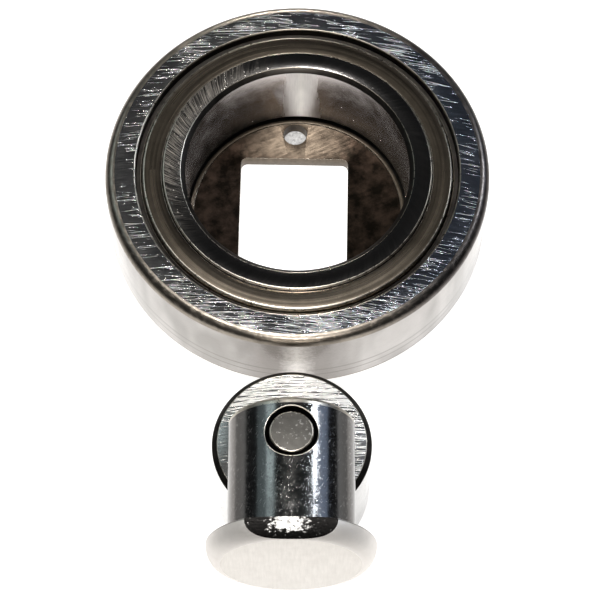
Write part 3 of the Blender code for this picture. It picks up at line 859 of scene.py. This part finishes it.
def cross_hole_mesh():
    """The hole through the pin, widened into a small rounded lip that follows the crown."""
    lip, steps, turns = CROSS_HOLE_LIP, 6, 96
    lift = 0.004  # takes the widest loop just clear of the crown
    low = PIN_AXIS_Z - SHANK_RADIUS - 1
    high = PIN_AXIS_Z + SHANK_RADIUS + 1
    shape = bmesh.new()

    def crown(radius, angle):
        reach = min(abs(radius * math.cos(angle)), SHANK_RADIUS)
        return PIN_AXIS_Z + math.sqrt(SHANK_RADIUS ** 2 - reach ** 2)

    def loop(radius, height):
        verts = []
        for i in range(turns):
            a = 2 * math.pi * i / turns
            z = height(a) if callable(height) else height
            x, y = CROSS.x + radius * math.cos(a), CROSS.y + radius * math.sin(a)
            verts.append(shape.verts.new((x * MM, y * MM, z * MM)))
        return verts

    loops = [loop(CROSS_HOLE_RADIUS, low)]
    for i in range(steps + 1):
        bend = math.radians(90 * i / steps)
        radius = CROSS_HOLE_RADIUS + lip * (1 - math.cos(bend))
        drop = lip * (1 - math.sin(bend))
        loops.append(loop(radius, lambda a, r=radius, d=drop: crown(r, a) - d + lift))
    loops.append(loop(CROSS_HOLE_RADIUS + lip, high))
    for lower, upper in zip(loops, loops[1:]):
        for i in range(turns):
            j = (i + 1) % turns
            shape.faces.new((lower[i], lower[j], upper[j], upper[i]))
    shape.faces.new(list(reversed(loops[0])))
    shape.faces.new(loops[-1])
    mesh = bpy.data.meshes.new("cross_hole")
    shape.to_mesh(mesh)
    shape.free()
    return mesh


def finish_cross_hole(mesh):
    """Black out the hole's wall as painted shade, and brighten its lip, which is made of small slanting
    faces.
    """
    for name in ("black_steel", "bright_edge"):
        mesh.materials.append(MATERIALS[name])
    wall, lip = len(mesh.materials) - 2, len(mesh.materials) - 1
    for face in mesh.polygons:
        out = (face.center.to_2d() / MM - CROSS.to_2d()).length - CROSS_HOLE_RADIUS
        slanting, small = abs(face.normal.z) < 0.98, face.area < 0.02 * MM * MM
        if out < 0.01:
            face.material_index = wall
        elif out < CROSS_HOLE_LIP + 0.005 and slanting and small:
            face.material_index = lip


def on_head_flat(normal, middle):
    """Whether a face, by its normal and its middle, is part of the level flat on top of the head."""
    return normal.z > 0.9999 and middle.z / MM > HEAD_TOP - 0.01


def set_true_normals(mesh):
    """Give the shank's faces the true cylinder's normals, and the head's flat level ones."""
    axis = Vector((CROSS.x * MM, 0, PIN_AXIS_Z * MM))
    close = 0.004  # millimetres off the cylinder
    outward = 0.97  # least agreement between a face's normal and the cylinder's
    normals = [tuple(n.vector) for n in mesh.corner_normals]
    for face in mesh.polygons:
        for index in face.loop_indices:
            point = mesh.vertices[mesh.loops[index].vertex_index].co - axis
            point.y = 0
            on_shank = abs(point.length / MM - SHANK_RADIUS) < close
            if on_shank and face.normal.dot(point.normalized()) > outward:
                normals[index] = tuple(point.normalized())
            elif on_head_flat(face.normal, face.center):
                normals[index] = (0, 0, 1)
    mesh.normals_split_custom_set(normals)


def flatten_head(pin):
    """Take the top off the head and round the edge that this leaves."""
    outline = [(-1, -1), (1, -1), (1, 1), (-1, 1)]
    reach, middle = PIN_LENGTH, PIN_END_Y - PIN_LENGTH / 2
    box = prism([(CROSS.x + x * reach, middle + y * reach) for x, y in outline], HEAD_TOP, HEAD_TOP + 5)
    mesh = cut(pin, box)
    shape = bmesh.new()
    shape.from_mesh(mesh)
    weight = shape.edges.layers.float.new("bevel_weight_edge")
    for edge in shape.edges:
        level = [on_head_flat(face.normal, face.calc_center_median()) for face in edge.link_faces]
        if any(level) and not all(level):
            edge[weight] = 1.0
    for face in shape.faces:
        if on_head_flat(face.normal, face.calc_center_median()):
            face.material_index = mesh.materials.find("worn_flat")
    shape.to_mesh(mesh)
    shape.free()
    bevel = pin.modifiers.new("Flat edge", "BEVEL")
    bevel.limit_method = "WEIGHT"
    bevel.width = 0.15 * MM
    bevel.segments = 3
    apply_modifiers(pin)


def make_headed_pin():
    front, shoulder, neck = pin_profile()
    chamfer = 0.5
    end = SHANK_RADIUS - chamfer
    sections = [
        ("head_face", [(0, PIN_LENGTH), (FACE_RADIUS, PIN_LENGTH)]),
        ("head_rim", front),
        ("brushed_shoulder", shoulder + neck),
        ("chrome", [(SHANK_RADIUS, NECK_START - i * 0.5) for i in range(1, 31)]),
        ("bright_edge", [(SHANK_RADIUS, chamfer), (SHANK_RADIUS - chamfer * 0.7, 0.12), (end, 0)]),
        ("head_face", [(end, 0), (0, 0)]),
    ]
    lie_down = Matrix.Translation((CROSS.x * MM, PIN_END_Y * MM, PIN_AXIS_Z * MM))
    lie_down = lie_down @ Matrix.Rotation(math.pi / 2, 4, "X")
    mesh = lathe("headed_pin_fine", sections, (0, 0), 256, MATERIALS, closed=False, place=lie_down)
    mesh.materials.append(MATERIALS["worn_flat"])
    pin = new_object("headed_pin_fine", mesh, "headed_pin", "headed_pin")
    flatten_head(pin)
    cut_mesh = shaded(cut(pin, cross_hole_mesh()))
    finish_cross_hole(cut_mesh)
    set_true_normals(cut_mesh)
    return pin


def make_cross_pin():
    low, top = span_of("cross_pin")
    edge = 0.2
    radius = CROSS_PIN_RADIUS
    sections = [
        ("matt_pin", [(0, top), (radius - edge, top)]),
        ("bright_edge", arc((radius - edge, top - edge), edge, 90, 0, 4)),
        ("black_steel", [(radius, top - edge), (radius, low + edge), (radius - edge, low), (0, low)]),
    ]
    mesh = lathe("cross_pin_fine", sections, (CROSS.x, CROSS.y), 96, MATERIALS, closed=False)
    return new_object("cross_pin_fine", mesh, "foot", "cross_pin")


def finish_hidden_nodes():
    """The needles and their cage keep their CAD shapes and take real finishes."""
    for name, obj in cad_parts.items():
        if name.startswith("needle_"):
            obj.data.materials.clear()
            obj.data.materials.append(MATERIALS["black_steel" if name == "needle_cage" else "chrome"])


make_outer_ring()
make_inner_ring()
make_washer("lower_side_washer")
make_washer("upper_side_washer")
make_seal_ring("lower_seal_ring")
make_seal_ring("upper_seal_ring")
make_end_plate()
make_foot()
make_headed_pin()
make_cross_pin()
finish_hidden_nodes()


# ---------------------------------------------------------------- floor, light and camera

def make_floor():
    """A plain pale floor that glows as painted light in a patch under the set, brightest under the plate's
    window, and dimmed under the small hole as painted shade.
    """
    mesh = bpy.data.meshes.new("floor")
    shape = bmesh.new()
    bmesh.ops.create_grid(shape, x_segments=1, y_segments=1, size=2.0)
    shape.to_mesh(mesh)
    shape.free()
    floor = bpy.data.objects.new("floor", mesh)
    floor.location.z = -0.05 * MM  # just clear of the set's underside
    bpy.context.scene.collection.objects.link(floor)
    paper = Steel("floor_white", (0.5, 0.5, 0.5), 0.9, metallic=0.0)
    x, y, _ = paper.split(paper.point)
    side = paper.zone(paper.size_of(x), 44, 54, 1.0, 0.0)
    far = paper.zone(y, 50, 70, 1.0, 0.0)
    near = paper.zone(y, -82, -62)
    patch = paper.times(side, paper.times(far, near))
    # painted light: the floor's glow is strongest under the plate's window
    under_window = paper.zone(paper.distance(0, ROLLER.y), 4, 11, 1.7, 1.0)
    under_hole = paper.distance(*turned_about_roller([(WINDOW_CENTRE_X, OIL_HOLE_Y)])[0])
    patch = paper.times(patch, under_window)
    # painted shade: the glow weakens under the small hole
    fibres = paper.noise(paper.point, 2500, 3, 0.7)
    dimmed = paper.ramp(fibres, 0.35, 0.65, 0.0, 0.4)
    open_floor = paper.zone(under_hole, 2.2, 2.8)
    patch = paper.times(patch, paper.larger(open_floor, dimmed))  # little light gets under the small hole
    paper.set(paper.shader, {
        "Emission Color": (1, 0.985, 0.965, 1),
        "Emission Strength": paper.times(patch, 0.95),
    })
    mesh.materials.append(paper.finish())


def make_world(colour, strength):
    world = bpy.data.worlds.new("studio")
    bpy.context.scene.world = world
    world.use_nodes = True
    background = world.node_tree.nodes["Background"]
    background.inputs["Color"].default_value = (*colour, 1)
    background.inputs["Strength"].default_value = strength


CAMERA_PLACE = (0.4 * MM, (ROLLER.y - 173.035) * MM, 328.9 * MM)
CAMERA_TILT = math.radians(63.97)  # below the horizon
CAMERA_ROLL = math.radians(0.126)
CAMERA_LENS = 159.1


def make_camera():
    data = bpy.data.cameras.new("camera")
    data.sensor_width = 36
    data.lens = CAMERA_LENS
    data.clip_start = 0.01
    data.clip_end = 20
    camera = bpy.data.objects.new("camera", data)
    camera.location = CAMERA_PLACE
    tilt = Matrix.Rotation(math.pi / 2 - CAMERA_TILT, 3, "X")
    roll = Matrix.Rotation(CAMERA_ROLL, 3, "Z")
    camera.rotation_euler = (tilt @ roll).to_euler()
    bpy.context.scene.collection.objects.link(camera)
    bpy.context.scene.camera = camera


def lamp(name, azimuth, elevation, distance, size, radiance, colour):
    """A round lamp, placed by its direction from the set: azimuth from +Y towards +X, in degrees."""
    a, e = math.radians(azimuth), math.radians(elevation)
    middle = Vector((0, -0.01, 0.015))
    place = middle + distance * Vector((math.sin(a) * math.cos(e), math.cos(a) * math.cos(e), math.sin(e)))
    data = bpy.data.lights.new(name, "AREA")
    data.shape = "DISK"
    data.size = size
    data.energy = radiance * math.pi * math.pi * size * size / 4
    data.color = colour
    light = bpy.data.objects.new(name, data)
    light.location = place
    light.rotation_mode = "QUATERNION"
    light.rotation_quaternion = (middle - place).to_track_quat("-Z", "Y")
    bpy.context.scene.collection.objects.link(light)


make_floor()
make_world((0.9, 0.95, 1.0), 0.03)
lamp("key", -50, 85, 1.0, 0.14, 110, (1.0, 0.985, 0.96))
lamp("front_lamp", 178, 58, 1.0, 0.16, 55, (1.0, 0.97, 0.93))
lamp("back_lamp", -3, 24, 1.0, 0.12, 78, (1.0, 0.98, 0.95))
lamp("right_window", 54.4, 41.3, 1.0, 0.12, 66, (0.85, 0.92, 1.0))
lamp("right_sky", 60, 29, 1.2, 0.46, 0.8, (0.55, 0.7, 1.0))
lamp("left_window", -55, 38, 1.2, 0.74, 0.3, (0.75, 0.95, 1.0))
lamp("left_sky", -51, 44, 1.0, 0.3, 1.4, (0.8, 0.97, 1.0))
make_camera()
bpy.context.scene.view_settings.view_transform = "Standard"
